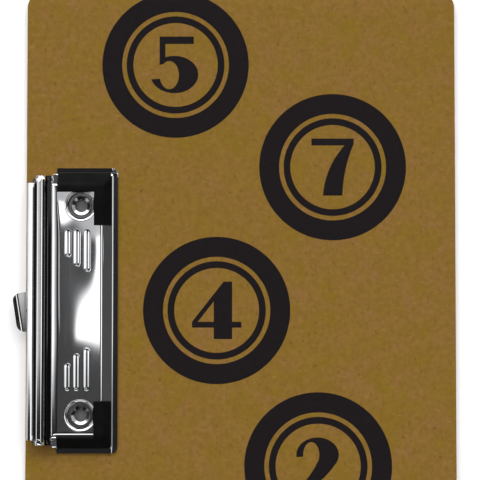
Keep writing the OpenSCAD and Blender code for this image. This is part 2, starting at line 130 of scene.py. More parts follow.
def hardboard_finish():
    """Wood pulp pressed smooth: clouds and patches of brown, with chips, fibres and dark flecks."""
    finish, tree, shader, place = new_finish("pressed_hardboard")
    clouds = speckle(tree, place, per_metre=70, low=0.4, high=0.6, detail=2)
    patches = speckle(tree, place, per_metre=160, low=0.38, high=0.62, detail=3)
    chips = speckle(tree, place, per_metre=420, low=0.3, high=0.7, detail=5)
    fibre = speckle(tree, place, per_metre=700, low=0.6, high=0.74, detail=3, stretch=(1, 0.4, 1), turn=0.5)
    straw = speckle(tree, place, per_metre=600, low=0.6, high=0.76, detail=3, stretch=(0.4, 1, 1), turn=0.35)
    ground = mix(tree, clouds, red_brown, olive_brown)
    ground = mix(tree, patches, ground, patch_brown)
    ground = mix(tree, chips, chip_brown, ground)
    ground = mix(tree, fibre, ground, fibre_brown)
    ground = mix(tree, straw, ground, straw_brown)
    cells = add(tree, "TexVoronoi", {"Vector": place, "Scale": flecks_per_metre, "Randomness": 1.0})
    drawn = add(tree, "SeparateColor", {"Color": cells.outputs["Color"]})
    size = add(tree, "MapRange", {"Value": drawn.outputs[0], "From Min": 0.7, "From Max": 1.0, "To Max": 0.3})
    inside = add(tree, "Math", {0: size.outputs[0], 1: cells.outputs["Distance"]}, operation="SUBTRACT")
    fleck = add(tree, "MapRange", {"Value": inside.outputs[0], "From Max": 0.2, "To Max": 0.7})
    ground = mix(tree, fleck.outputs[0], ground, fleck_brown)
    tree.links.new(ground, shader.inputs["Base Color"])
    gloss = add(tree, "MapRange", {"Value": chips, "To Min": 0.5, "To Max": 0.62})
    tree.links.new(gloss.outputs[0], shader.inputs["Roughness"])
    shader.inputs["Specular IOR Level"].default_value = 0.1
    roughened(tree, shader, chips, chip_depth, 0.5)
    return finish


def circle(centre, radius, z, steps=96):
    """Points round a circle that lies level."""
    return [
        Vector((centre[0] + radius * math.cos(a), centre[1] + radius * math.sin(a), z))
        for a in (math.tau * k / steps for k in range(steps))
    ]


def bored_plate(sides, bores=()):
    """A closed plate. sides is its outline at each level from the bottom up, and each bore
    is the same for one hole. The loops of one wall have as many points as each other."""
    made = bmesh.new()
    ends = [[], []]
    for wall in [sides, *bores]:
        rows = [[made.verts.new(p) for p in loop] for loop in wall]
        for low, high in zip(rows, rows[1:]):
            for k in range(len(low)):
                made.faces.new((low[k - 1], low[k], high[k], high[k - 1]))
        ends[0].append(rows[0])
        ends[1].append(rows[-1])
    for loops in ends:
        flat = [v for loop in loops for v in loop]
        for corners in tessellate_polygon([[v.co for v in loop] for loop in loops]):
            made.faces.new([flat[k] for k in corners])
    bmesh.ops.recalc_face_normals(made, faces=made.faces)
    return made


def piece_from(made, name, finish, body, slot, *nodes, smooth=40):
    """Turns built mesh into a piece of the object that rides on a body."""
    mesh = bpy.data.meshes.new(name)
    made.to_mesh(mesh)
    made.free()
    mesh.materials.append(finish)
    mesh.shade_smooth()
    mesh.set_sharp_from_angle(angle=math.radians(smooth))
    piece = bpy.data.objects.new(name, mesh)
    bpy.context.scene.collection.objects.link(piece)
    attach(piece, body)
    if nodes:
        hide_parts(*nodes)
    return piece


def eased_levels(low, high, ease, steps=4):
    """Pairs of (inset, height) that round the lower and upper edge of a plate."""
    turns = [math.pi / 2 * k / steps for k in range(steps + 1)]
    lower = [(ease * (1 - math.sin(a)), low + ease * (1 - math.cos(a))) for a in turns]
    return lower + [(inset, low + high - z) for inset, z in reversed(lower)]


def round_rectangle(low, high, radius, inset, z, steps=14):
    """A rectangle between two corners, drawn in by an inset, with round corners."""
    points = []
    for quarter, (x, y) in enumerate(((1, 1), (0, 1), (0, 0), (1, 0))):
        middle = [(low, high)[side][axis] + (radius, -radius)[side] for axis, side in enumerate((x, y))]
        for k in range(steps + 1):
            a = math.pi / 2 * (quarter + k / steps)
            reach = radius - inset
            points.append(Vector((middle[0] + reach * math.cos(a), middle[1] + reach * math.sin(a), z)))
    return points


board_low, board_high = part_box("board")
face_z = board_high.z
rivet_places = [(sum(corner.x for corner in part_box(n)) / 2, sum(corner.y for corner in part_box(n)) / 2)
                for n in ("rivet_upper", "rivet_lower")]
board = bored_plate(
    [round_rectangle(board_low, board_high, board_corner_r, inset, z)
     for inset, z in eased_levels(board_low.z, face_z, board_ease)],
    [[circle(place, counterbore_r, 0), circle(place, counterbore_r, counterbore_depth),
      circle(place, drill_r, counterbore_depth), circle(place, drill_r, face_z)] for place in rivet_places],
)
piece_from(board, "hardboard_panel", hardboard_finish(), "board_assembly", "hardboard", "board")

# Ring prints: a film of black ink, screen printed on the board's face in five places.
# Each print is a broad ring, a fine ring inside it and a plain number in the middle,
# in heavy numerals with thick uprights and thin bars.
ring_r = 39.4 * mm
band_w = 10.7 * mm
band_gap = 2.4 * mm
line_w = 3.6 * mm
ink_thickness = 0.06 * mm
ink_grain_depth = 0.03 * mm
numeral_h = 30.7 * mm
# Middle of each ring, as shares of the board's width and length
ring_place_shares = [(-0.153, 0.383), (0.214, 0.223), (-0.0565, 0), (0.179, -0.241), (-0.183, -0.384)]
ring_numbers = "57423"
print_levels = (face_z, face_z + ink_thickness)
ink_black = from_screen(24, 20, 22)
ink_grey = from_screen(30, 25, 26)
pore_brown = from_screen(42, 35, 28)


def arc(centre, reach, start, end, steps=20):
    """Points on an upright ellipse, from one angle in degrees to another."""
    turns = [math.radians(start + (end - start) * k / steps) for k in range(steps + 1)]
    return [(centre[0] + reach[0] * math.cos(a), centre[1] + reach[1] * math.sin(a)) for a in turns]


def curve(start, bend, end, steps=12):
    """Points on a curve that leaves start and reaches end, both towards the bend."""
    shares = [k / steps for k in range(steps + 1)]
    return [tuple((1 - s) ** 2 * a + 2 * s * (1 - s) * b + s * s * c for a, b, c in zip(start, bend, end))
            for s in shares]


# Outlines of the numerals, 1 high, as (width, outer edge, hole)
numerals = {
    "7": (0.74, [(0, 1), (0.74, 1)] + curve((0.74, 0.9), (0.56, 0.5), (0.54, 0))
          + curve((0.2, 0), (0.24, 0.5), (0.58, 0.88)) + [(0, 0.88)], []),
    "4": (0.86, [(0.38, 0), (0.7, 0), (0.7, 0.2), (0.86, 0.2), (0.86, 0.3), (0.7, 0.3), (0.7, 1), (0.55, 1),
                 (0, 0.3), (0, 0.2), (0.38, 0.2)], [(0.38, 0.3), (0.1, 0.3), (0.38, 0.655)]),
    "2": (0.78, arc((0.38, 0.7), (0.37, 0.3), 188, -38) + curve((0.66, 0.5), (0.5, 0.28), (0.27, 0.13))
          + [(0.78, 0.13), (0.78, 0), (0, 0), (0, 0.06)] + curve((0.02, 0.08), (0.3, 0.38), (0.38, 0.58))
          + arc((0.27, 0.7), (0.14, 0.22), -30, 188), []),
    "3": (0.78, arc((0.36, 0.75), (0.34, 0.25), 175, -55) + arc((0.36, 0.28), (0.42, 0.28), 58, -175)
          + arc((0.28, 0.27), (0.17, 0.2), 190, 440) + [(0.2, 0.49), (0.2, 0.55)]
          + arc((0.27, 0.74), (0.14, 0.19), -75, 175), []),
    "5": (0.8, [(0.12, 1), (0.72, 1), (0.72, 0.87), (0.22, 0.87)] + arc((0.38, 0.33), (0.42, 0.33), 112, -165)
          + arc((0.29, 0.32), (0.17, 0.25), 195, 490) + [(0.12, 0.5)], []),
}


def ink_finish():
    """Flat black ink that is a little thin in the board's pores."""
    finish, tree, shader, place = new_finish("screen_ink")
    grain = speckle(tree, place, per_metre=700, low=0.3, high=0.7)
    pores = speckle(tree, place, per_metre=1500, low=0.7, high=0.8, detail=2)
    colour = mix(tree, grain, ink_black, ink_grey)
    colour = mix(tree, pores, colour, pore_brown)
    tree.links.new(colour, shader.inputs["Base Color"])
    gloss = add(tree, "MapRange", {"Value": grain, "To Min": 0.48, "To Max": 0.62})
    tree.links.new(gloss.outputs[0], shader.inputs["Roughness"])
    shader.inputs["Specular IOR Level"].default_value = 0.08
    roughened(tree, shader, grain, ink_grain_depth, 0.4)
    return finish


def ink_ring(centre, outer_r, width, steps=160):
    return bored_plate([circle(centre, outer_r, z, steps) for z in print_levels],
                       [[circle(centre, outer_r - width, z, steps) for z in print_levels]])


def ink_numeral(centre, number):
    width, edge, hole = numerals[number]
    left = centre[0] - width / 2 * numeral_h
    foot = centre[1] - numeral_h / 2
    walls = [[[Vector((left + x * numeral_h, foot + y * numeral_h, z)) for x, y in points]
              for z in print_levels] for points in (edge, hole) if points]
    return bored_plate(walls[0], walls[1:])


def joined(parts):
    """Several built meshes as one."""
    whole = bmesh.new()
    for part in parts:
        mesh = bpy.data.meshes.new("part")
        part.to_mesh(mesh)
        part.free()
        whole.from_mesh(mesh)
        bpy.data.meshes.remove(mesh)
    return whole


board_size = board_high - board_low
prints = []
for share, number in zip(ring_place_shares, ring_numbers):
    middle = (share[0] * board_size.x, share[1] * board_size.y)
    prints.append(ink_ring(middle, ring_r, band_w))
    prints.append(ink_ring(middle, ring_r - band_w - band_gap, line_w))
    prints.append(ink_numeral(middle, number))
piece_from(joined(prints), "ring_prints", ink_finish(), "board_assembly", "ink", "printed_rings")

# Base plate: a flat pressing of zinc plated steel under the jaw, with an ear at each end
# for the rod and a raised bridge under which the hang tab slides. The rivets hold it down.
plate_t = 0.8 * mm
plate_edge = 0.12 * mm
zinc_scratch = 0.01 * mm
zinc_dark = from_screen(138, 138, 139)
zinc_light = from_screen(158, 158, 157)


def plated_finish(name, dark, light, rough, scratches):
    """Bright plate on rolled sheet: hazy patches and fine lines from the rolling."""
    finish, tree, shader, place = new_finish(name)
    haze = speckle(tree, place, per_metre=90, low=0.35, high=0.65)
    lines = speckle(tree, place, per_metre=500, low=0.5, high=0.75, detail=6, stretch=(1, 0.04, 1), turn=0.06)
    tree.links.new(mix(tree, haze, dark, light), shader.inputs["Base Color"])
    shader.inputs["Metallic"].default_value = 1
    worn = add(tree, "Math", {0: haze, 1: 0.5, 2: lines}, operation="MULTIPLY_ADD")
    gloss = add(tree, "MapRange", {"Value": worn.outputs[0], "From Max": 1.5,
                                   "To Min": rough[0], "To Max": rough[1]})
    tree.links.new(gloss.outputs[0], shader.inputs["Roughness"])
    roughened(tree, shader, lines, scratches, 0.5)
    return finish


def ease_edges(piece, width, finish):
    """Gives a piece of the frame its finish, and rounds its edges."""
    piece.data.materials.clear()
    piece.data.materials.append(finish)
    bevel = piece.modifiers.new("eased_edges", "BEVEL")
    bevel.width = width
    bevel.segments = 2
    bevel.limit_method = "ANGLE"
    bevel.angle_limit = math.radians(40)


zinc = plated_finish("zinc_plating", zinc_dark, zinc_light, (0.14, 0.26), zinc_scratch)
ease_edges(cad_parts["base_plate"], plate_edge, zinc)

# Rivets: two tubular rivets of nickel plated steel. Each has a flat head let into the
# board's back, and its open end is flared like a trumpet over the base plate.
shank_r = 3.5 * mm
head_r = 5 * mm
head_t = 0.8 * mm
head_recess = 0.1 * mm
rivet_edge = 0.2 * mm
tube_wall = 0.3 * mm
plate_top = face_z + plate_t
# The flare's lip is rolled round a circle at (radius, height above the base plate)
lip_at = (5.2 * mm, 0.75 * mm)
lip_r = 0.35 * mm
lip_turn = (-60, 117)
# The cone of the flare ends at its foot, where the throat curves down into the bore
flare_foot = (3.45 * mm, plate_top + 0.25 * mm)
foot_ease = (0.08 * mm, 0.04 * mm)
throat_round = (0.05 * mm, 0.3 * mm)
cone_shares = (0.05, 0.95)
dull_inside = 0.5
bright_lip = 0.1
rivet_dark = from_screen(128, 128, 128)
rivet_light = from_screen(154, 154, 152)


def turned(profile, centre, steps=72):
    """A round solid from its profile of (radius, height), which starts and ends on its axis."""
    made = bmesh.new()
    foot, *rims, top = profile
    rows = [[made.verts.new(p) for p in circle(centre, r, z, steps)] for r, z in rims]
    for low, high in zip(rows, rows[1:]):
        for k in range(steps):
            made.faces.new((low[k - 1], low[k], high[k], high[k - 1]))
    for row, (_, z) in ((rows[0], foot), (rows[-1], top)):
        tip = made.verts.new((*centre, z))
        for k in range(steps):
            made.faces.new((row[k - 1], row[k], tip))
    bmesh.ops.recalc_face_normals(made, faces=made.faces)
    return made


def rivet_profile():
    """Half of the rivet's section: round its head, up the shank, over the lip and down the bore."""
    back = head_recess + head_t
    bottom = back + head_t
    bore = shank_r - tube_wall
    lip = arc((lip_at[0], plate_top + lip_at[1]), (lip_r, lip_r), *lip_turn, 16)
    cone = [tuple(a + share * (b - a) for a, b in zip(lip[-1], flare_foot)) for share in cone_shares]
    foot_r, foot_z = flare_foot
    return [
        (0, head_recess), (head_r - rivet_edge, head_recess), (head_r, head_recess + rivet_edge),
        (head_r, back), (shank_r, back), (shank_r, plate_top), *lip, *cone, flare_foot,
        (foot_r - foot_ease[0], foot_z - foot_ease[1]),
        (bore + throat_round[0], foot_z - throat_round[1]), (bore, foot_z - 2 * throat_round[1]),
        (bore, bottom + rivet_edge), (bore - rivet_edge, bottom), (0, bottom),
    ]


def rivet_finish():
    """Nickel plate, dull inside the tube and bright on the flare's lip."""
    finish, tree, shader, place = new_finish("rivet_plating")
    haze = speckle(tree, place, per_metre=260, low=0.35, high=0.65)
    tree.links.new(mix(tree, haze, rivet_dark, rivet_light), shader.inputs["Base Color"])
    shader.inputs["Metallic"].default_value = 1
    height = add(tree, "SeparateXYZ", {"Vector": place}).outputs["Z"]
    gloss = add(tree, "MapRange", {"Value": height, "From Min": face_z, "From Max": plate_top,
                                   "To Min": dull_inside, "To Max": bright_lip})
    worn = add(tree, "Math", {0: haze, 1: 0.06, 2: gloss.outputs[0]}, operation="MULTIPLY_ADD")
    tree.links.new(worn.outputs[0], shader.inputs["Roughness"])
    return finish


nickel = rivet_finish()
for middle, node in zip(rivet_places, ("rivet_upper", "rivet_lower")):
    piece_from(turned(rivet_profile(), middle), "tube_" + node, nickel, "board_assembly", "chrome", node)

# Pivot rod: a plain steel rod through the ears of the base plate and the jaw. Its ends
# are staked flush with the jaw's ears, so that it can't slide out.
rod_low, rod_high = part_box("pivot_rod")
pivot = Vector(((rod_low.x + rod_high.x) / 2, 0, (rod_low.z + rod_high.z) / 2))
rod_r = 1.5 * mm
rod_setback = 0.95 * mm
rod_half_l = rod_high.y - rod_setback
rod_edge = 0.25 * mm
rod = turned([(0, -rod_half_l), (rod_r - rod_edge, -rod_half_l), (rod_r, rod_edge - rod_half_l),
              (rod_r, rod_half_l - rod_edge), (rod_r - rod_edge, rod_half_l), (0, rod_half_l)], (0, 0), 48)
laid_along_y = Matrix.Rotation(math.pi / 2, 4, "X")
bmesh.ops.transform(rod, matrix=Matrix.Translation(pivot) @ laid_along_y, verts=rod.verts)
piece_from(rod, "round_pivot_rod", zinc, "board_assembly", "zinc_steel", "pivot_rod")

# Springs: two torsion springs wound of bright steel wire round the rod. One leg of each
# bears on the base plate, and the other pushes up under the jaw's flat top.
wire_r = 0.5 * mm
coil_r = 2.3 * mm
coil_pitch = 1.55 * mm
coil_start = 27 * mm
coil_turn = math.radians(2410)
leg_angle = math.radians(20)
leg_dip = 1.1 * coil_r
leg_low = 4.65 * mm
leg_rise = 0.2 * mm
leg_high = 7.75 * mm
leg_reach = 10.9 * mm
# Course of the upper leg, in radii of the coil across and as shares of its rise
leg_course_shares = [(0, 0), (1, 0.1), (2, 0.5), (3, 0.93), (4, 1), (4.4, 1)]
wire_dark = from_screen(96, 96, 98)
wire_light = from_screen(122, 122, 124)


def on_coil(angle, y):
    return Vector((pivot.x + coil_r * math.cos(angle), y, pivot.z + coil_r * math.sin(angle)))


def spring_points(steps=160):
    """The wire's path: the lower leg, the coil, and the upper leg."""
    points = [Vector((pivot.x + leg_reach, coil_start, leg_low)),
              Vector((pivot.x + leg_reach - 2 * wire_r, coil_start, leg_low)),
              Vector((pivot.x + coil_r, coil_start, leg_low + leg_rise))]
    for k in range(steps + 1):
        turn = coil_turn * k / steps
        points.append(on_coil(-math.pi / 2 - turn, coil_start + coil_pitch * turn / math.tau))
    coil_end = coil_start + coil_pitch * coil_turn / math.tau
    downhill = Vector((math.sin(leg_angle), 0, -math.cos(leg_angle)))
    dip = on_coil(leg_angle, coil_end) + leg_dip * downhill
    for along, up in leg_course_shares:
        points.append(Vector((dip.x + along * coil_r, coil_end, dip.z + up * (leg_high - dip.z))))
    return points


def spring_finish():
    finish, tree, shader, place = new_finish("spring_wire")
    drawn = speckle(tree, place, per_metre=900, low=0.35, high=0.65)
    tree.links.new(mix(tree, drawn, wire_dark, wire_light), shader.inputs["Base Color"])
    shader.inputs["Metallic"].default_value = 1
    gloss = add(tree, "MapRange", {"Value": drawn, "To Min": 0.25, "To Max": 0.4})
    tree.links.new(gloss.outputs[0], shader.inputs["Roughness"])
    return finish


def wound_wire(points, radius, sides=12):
    """A round wire along points, closed at both ends."""
    made = bmesh.new()
    rows = []
    for i, point in enumerate(points):
        way = (points[min(i + 1, len(points) - 1)] - points[max(i - 1, 0)]).normalized()
        out = way.cross(Vector((0, 1, 0))).normalized()
        aside = out.cross(way)
        turns = [math.tau * k / sides for k in range(sides)]
        rows.append([made.verts.new(point + radius * (math.cos(a) * out + math.sin(a) * aside))
                     for a in turns])
    for low, high in zip(rows, rows[1:]):
        for k in range(sides):
            made.faces.new((low[k - 1], low[k], high[k], high[k - 1]))
    made.faces.new(rows[0])
    made.faces.new(rows[-1])
    bmesh.ops.recalc_face_normals(made, faces=made.faces)
    return made


spring_wire = spring_finish()
for node, side in (("spring_upper", 1), ("spring_lower", -1)):
    path = [Vector((p.x, side * p.y, p.z)) for p in spring_points()]
    mesh = bpy.data.meshes.new("wound_" + node)
    wire = wound_wire(path, wire_r)
    wire.to_mesh(mesh)
    wire.free()
    mesh.materials.append(spring_wire)
    mesh.shade_smooth()
    spring = bpy.data.objects.new("wound_" + node, mesh)
    bpy.context.scene.collection.objects.link(spring)
    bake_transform(spring)
    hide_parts(node)

# Jaw: one pressing of chromed sheet steel. Its front is a shallow tray with a flat rim, a
# sloped front and sloped ends. Behind a groove the sheet is rolled into a barrel over the
# rod and the springs, and runs on into the lever, whose edge is curled under.
jaw_low, jaw_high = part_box("jaw_plate")
sheet_t = 0.8 * mm
sheet_edge = 0.12 * mm
rim_z = jaw_low.z + sheet_t + 0.1 * mm
foot_z = rim_z - 0.12 * mm
# Where the rim meets the sloped end, at the upper and the lower end
end_foot_z = {1: rim_z - 0.24 * mm, -1: rim_z + 0.06 * mm}
crest_z = 9.25 * mm
groove_z = 8.2 * mm
front_x = jaw_high.x
foot_x = front_x - 2.9 * mm
crest_x = foot_x - 5.4 * mm
heel_start = (-96.3 * mm, crest_z)
heel_bend = (-99.1 * mm, crest_z)
heel_foot = (-100.5 * mm, crest_z - 0.36 * mm)
groove_x = -102.4 * mm
groove_edges = (-100.8 * mm, -103.45 * mm)
barrel_r = 3.8 * mm
barrel_angles = (math.radians(30), math.radians(140))
# Creases of the rolled barrel beside and above the rod, and where the rounding of each starts
barrel_creases = [(2.54 * mm, 2.82 * mm, 0.2 * mm), (1.0 * mm, 3.75 * mm, 0.5 * mm),
                  (-1.2 * mm, 3.6 * mm, 0.35 * mm)]
# Length over which the barrel's ends are turned down, and how far
barrel_cap = (3 * mm, 0.9 * mm)
barrel_squeeze_y = 60 * mm
lever_top = (-110.6 * mm, 9.2 * mm)
lever_bend = (-111.2 * mm, 8.5 * mm)
hem_r = 0.9 * mm
hem_x = jaw_low.x + hem_r
hem_z = pivot.z + 0.05 * mm
hem_turn = (94, 330)
half_l = jaw_high.y
side_foot_y = half_l - 3.2 * mm
side_crest_y = side_foot_y - 6.2 * mm
ear_y = half_l - 4.3 * mm
rear_lift = 6 * mm
crest_blend = 0.3 * mm
# How far from each bend of the sheet its rounding starts
foot_round = 0.4 * mm
crest_round = 0.9 * mm
end_crest_round = 1.6 * mm
groove_rounds = (0.1 * mm, 0.12 * mm)
barrel_foot_round = 0.1 * mm
lever_round = 0.2 * mm
# Where the barrel and the lever end along the clip, at the upper and the lower end
barrel_ends = {1: (ear_y, ear_y - 3.9 * mm), -1: (ear_y, ear_y - 2.7 * mm)}
rim_corner_r = 3 * mm
rim_stop_x = pivot.x + 8.8 * mm
nick_x = pivot.x + 6.6 * mm
access_r = 7 * mm
dish_w = 1.5 * mm
dish_depth = 0.9 * mm
patch_half = 9.3 * mm
ear_r = 2.2 * mm
ear_bore_r = 1.55 * mm
ear_web_x = groove_x + 2 * mm
ear_setback = 0.02 * mm
rib_half_w = 1.5 * mm
rib_crown_w = 0.375 * mm
rib_h = 0.28 * mm
rib_end_y = 42.8 * mm
ribs = [(-92.4 * mm, 14.2 * mm), (-87.6 * mm, 19.3 * mm), (-82.1 * mm, 22.2 * mm)]
# Heights between which the flat top's ribs, dishes and rises fade in
flat_from = crest_z - 1 * mm
flat_full = crest_z - 0.2 * mm
# Greatest distance between mesh lines on the tray, and behind it and on the sloped ends
tray_spacing = 0.42 * mm
bend_spacing = 0.5 * mm


def filleted(corners, steps=10):
    """A path through corners of (across, up, reach), each rounded by an arc that starts
    and ends reach before it."""
    path = []
    for i, (x, z, reach) in enumerate(corners):
        here = Vector((x, z))
        if reach == 0:
            path.append(here)
            continue
        start = here + reach * (Vector(corners[i - 1][:2]) - here).normalized()
        end = here + reach * (Vector(corners[i + 1][:2]) - here).normalized()
        turn = (here - start).angle(end - here)
        radius = reach / math.tan(turn / 2)
        inward = ((start + end) / 2 - here).normalized()
        centre = here + inward * math.hypot(radius, reach)
        spoke = start - centre
        way = 1 if spoke.x * (end - centre).y - spoke.y * (end - centre).x > 0 else -1
        for k in range(steps + 1):
            a = way * turn * k / steps
            path.append(centre + Vector((spoke.x * math.cos(a) - spoke.y * math.sin(a),
                                         spoke.x * math.sin(a) + spoke.y * math.cos(a))))
    return path


def filled_in(path, longest):
    """The same path with points added so that no stretch is longer than it should be."""
    points = [path[0]]
    for a, b in zip(path, path[1:]):
        count = max(1, math.ceil((b - a).length / longest))
        points += [a.lerp(b, k / count) for k in range(1, count + 1)]
    return points


def on_barrel(angle):
    """A place on the barrel's outside, across the clip and up."""
    return (pivot.x + barrel_r * math.cos(angle), pivot.z + barrel_r * math.sin(angle))


# The sheet's line across the clip, from the front edge to the groove and on to the hem
tray_line = filled_in(filleted([
    (front_x, rim_z, 0), (foot_x, foot_z, foot_round), (crest_x, crest_z, crest_round), (*heel_start, 0)
]) + [Vector(p) for p in curve(heel_start, heel_bend, heel_foot, 16)[1:-1]] + filleted([
    (*heel_foot, 0), (groove_edges[0], groove_z, groove_rounds[0]), (groove_x, groove_z, 0)
]), tray_spacing)
line_xs = np.array([p.x for p in reversed(tray_line)])
line_zs = np.array([p.y for p in reversed(tray_line)])
barrel_start, barrel_end = barrel_angles
on_hem = [Vector(p) for p in arc((hem_x, hem_z), (hem_r, hem_r), *hem_turn)]
into_hem = [Vector(p) for p in curve(lever_top, lever_bend, on_hem[0], 12)[3:-1]]
rear_line = filled_in(filleted([
    (groove_x, groove_z, 0), (groove_edges[1], groove_z, groove_rounds[1]),
    (*on_barrel(barrel_start), barrel_foot_round),
    *[(pivot.x + x, pivot.z + z, start) for x, z, start in barrel_creases],
    (*on_barrel(barrel_end), barrel_foot_round), (*lever_top, lever_round), (*lever_bend, 0)
])[:-1] + into_hem + on_hem, bend_spacing)[1:]
# The sheet's line down each end of the clip, as heights at distances from its middle
end_slopes = {}
for end, low_z in end_foot_z.items():
    end_line = filled_in(filleted([
        (half_l, rim_z, 0), (side_foot_y, low_z, foot_round), (side_crest_y, crest_z, end_crest_round),
        (0, crest_z, 0)
    ]), bend_spacing)
    end_slopes[end] = np.array([tuple(p) for p in reversed(end_line)]).T


def ramp(value, start, end):
    """Rises smoothly from 0 at start to 1 at end."""
    share = min(1, max(0, (value - start) / (end - start)))
    return share * share * (3 - 2 * share)


def lesser(a, b, blend):
    """The lesser of two heights, with a rounded change from one to the other."""
    near = max(blend - abs(a - b), 0) / blend
    return min(a, b) - near * near * blend / 4


def end_at(y):
    """Which end of the clip a place is nearer to: 1 for the upper end, -1 for the lower."""
    return 1 if y > 0 else -1


def half_length(x, in_tray, end):
    """How far the sheet reaches towards one end of the clip, at a place across it."""
    if in_tray:
        depth = rim_corner_r - (front_x - x)
        if depth > 0:
            return half_l - rim_corner_r + math.sqrt(max(0, rim_corner_r ** 2 - depth ** 2))
        if x > rim_stop_x:
            return half_l
        return side_foot_y if x > nick_x else ear_y
    share = min(1, max(0, (groove_x - x) / (groove_x - lever_top[0])))
    barrel_y, lever_y = barrel_ends[end]
    return barrel_y - (barrel_y - lever_y) * (1 - math.sqrt(1 - share * share))


def rib_rise(x, y):
    """How far the pressed ribs raise the sheet at a place."""
    rise = 0
    for rib_x, length in ribs:
        nearest = min(max(abs(y), rib_end_y - length + rib_half_w), rib_end_y - rib_half_w)
        rise = max(rise, 1 - ramp(math.hypot(x - rib_x, abs(y) - nearest), rib_crown_w, rib_half_w))
    return rib_h * rise


def dish_drop(x, y):
    """How far the dished edges of the access holes lower the sheet at a place."""
    away = min(math.hypot(x - middle[0], y - middle[1]) for middle in rivet_places)
    return 2 * dish_depth * (1 - ramp(away, access_r - dish_w, access_r + dish_w))


# Slight rises that pressing left in the flat top, each as (x, y, width, length, height)
rises = [
    (-103 * mm, 60 * mm, 9 * mm, 12 * mm, 0.22 * mm),
    (-76 * mm, 32 * mm, 9 * mm, 16 * mm, 0.1 * mm),
    (-90 * mm, -12 * mm, 11 * mm, 16 * mm, 0.06 * mm),
]


def top_rise(x, y):
    return sum(h * math.exp(-((x - u) / w) ** 2 - ((y - v) / l) ** 2) for u, v, w, l, h in rises)


def tray_height(x, y):
    """Height of the tray's outside at a place."""
    across_z = float(np.interp(x, line_xs, line_zs))
    end_z = float(np.interp(abs(y), *end_slopes[end_at(y)]))
    height = lesser(across_z, end_z + rear_lift * ramp(nick_x - x, 0, nick_x - groove_x), crest_blend)
    return height + ramp(height, flat_from, flat_full) * (rib_rise(x, y) - dish_drop(x, y) + top_rise(x, y))


def along_clip(x, y, in_tray):
    """Where a mesh line meets one across the clip. The lines end at the sheet's straight
    edges, and draw together at its round ones."""
    limit = half_length(x, in_tray, end_at(y))
    start = side_crest_y if in_tray else barrel_squeeze_y
    if in_tray and front_x - x >= rim_corner_r:
        return math.copysign(min(abs(y), limit), y)
    if abs(y) <= start:
        return y
    return math.copysign(start + (abs(y) - start) * (limit - start) / (half_l - start), y)


def cap_drop(x, y):
    """How far the barrel's ends are turned down, from their height in the middle."""
    length, drop = barrel_cap
    past = min(1, max(0, 1 - (half_length(x, False, end_at(y)) - abs(y)) / length))
    share = ramp(x, lever_bend[0], lever_top[0]) * ramp(-x, -groove_x, -groove_edges[1])
    return share * drop * past * past


# Square patches of the mesh round the access holes, as their edges across and along the clip
patch_xs = (rivet_places[0][0] - patch_half, rivet_places[0][0] + patch_half)
patch_ys = (rivet_places[0][1] - patch_half, rivet_places[0][1] + patch_half)
# Stretches from the clip's middle to its end, and the distance between mesh lines in each:
# they are close at bends, ribs and access holes
column_spans = [
    (0, 19 * mm, 1.6 * mm), (19 * mm, 44 * mm, 0.45 * mm), (44 * mm, patch_ys[0], 0.7 * mm),
    (*patch_ys, 0.8 * mm), (patch_ys[1], side_foot_y, 0.4 * mm), (side_foot_y, half_l, 0.5 * mm),
]
# Loops of the mesh from a patch's edge down to its hole: how far outside the hole, in widths
# of the dish, and the share by which each is still square
hole_loop_shares = [(1.3, 0.5), (1.3, 0), (1.1, 0), (0.95, 0), (0.8, 0), (0.65, 0), (0.5, 0),
                    (0.35, 0), (0.2, 0), (0.08, 0), (0, 0)]
# Points of the mesh within a weld of each other are made one, and a mesh line within a hair
# of a patch's edge counts as on it
weld = 0.001 * mm
hair = 0.0001 * mm


def column_places():
    """Places of the mesh lines along the clip."""
    ys = [0.0]
    for start, end, longest in column_spans:
        count = math.ceil((end - start) / longest)
        ys += [start + (end - start) * k / count for k in range(1, count + 1)]
    return [-y for y in reversed(ys[1:])] + ys


def jaw_sheet():
    """The outside of the whole sheet as one net of faces, with two holes in it."""
    made = bmesh.new()
    ys = column_places()
    line = [(p.x, p.y, True) for p in tray_line] + [(p.x, p.y, False) for p in rear_line]
    for edge in patch_xs:
        nearest = min(range(len(tray_line)), key=lambda i: abs(line[i][0] - edge))
        line[nearest] = (edge, line[nearest][1], True)
    rows = []
    for x, z, in_tray in line:
        rows.append([made.verts.new((x, y, tray_height(x, y) if in_tray else z - cap_drop(x, y)))
                     for y in (along_clip(x, y, in_tray) for y in ys)])
    first = next(i for i, row in enumerate(line) if row[0] <= patch_xs[1] + hair)
    last = max(i for i, row in enumerate(line) if row[2] and row[0] >= patch_xs[0] - hair)
    cut = []
    for middle in rivet_places:
        cut.append([min(range(len(ys)), key=lambda j: abs(ys[j] - middle[1] + side * patch_half))
                    for side in (1, -1)])
    for i in range(len(rows) - 1):
        for j in range(len(ys) - 1):
            if first <= i < last and any(a <= j < b for a, b in cut):
                continue
            made.faces.new((rows[i][j], rows[i + 1][j], rows[i + 1][j + 1], rows[i][j + 1]))
    for (a, b), middle in zip(cut, rivet_places):
        edge = (rows[first][a:b] + [rows[i][b] for i in range(first, last)]
                + [rows[last][j] for j in range(b, a, -1)] + [rows[i][a] for i in range(last, first, -1)])
        inner = edge
        for outside, square in hole_loop_shares:
            loop = []
            for v in edge:
                away = Vector((v.co.x - middle[0], v.co.y - middle[1]))
                at = Vector(middle) + away.normalized() * (access_r + outside * dish_w)
                at = at.lerp(v.co.xy, square)
                loop.append(made.verts.new((at.x, at.y, tray_height(at.x, at.y))))
            for k in range(len(edge)):
                made.faces.new((inner[k - 1], inner[k], loop[k], loop[k - 1]))
            inner = loop
    bmesh.ops.remove_doubles(made, verts=made.verts, dist=weld)
    bmesh.ops.recalc_face_normals(made, faces=made.faces)
    return made


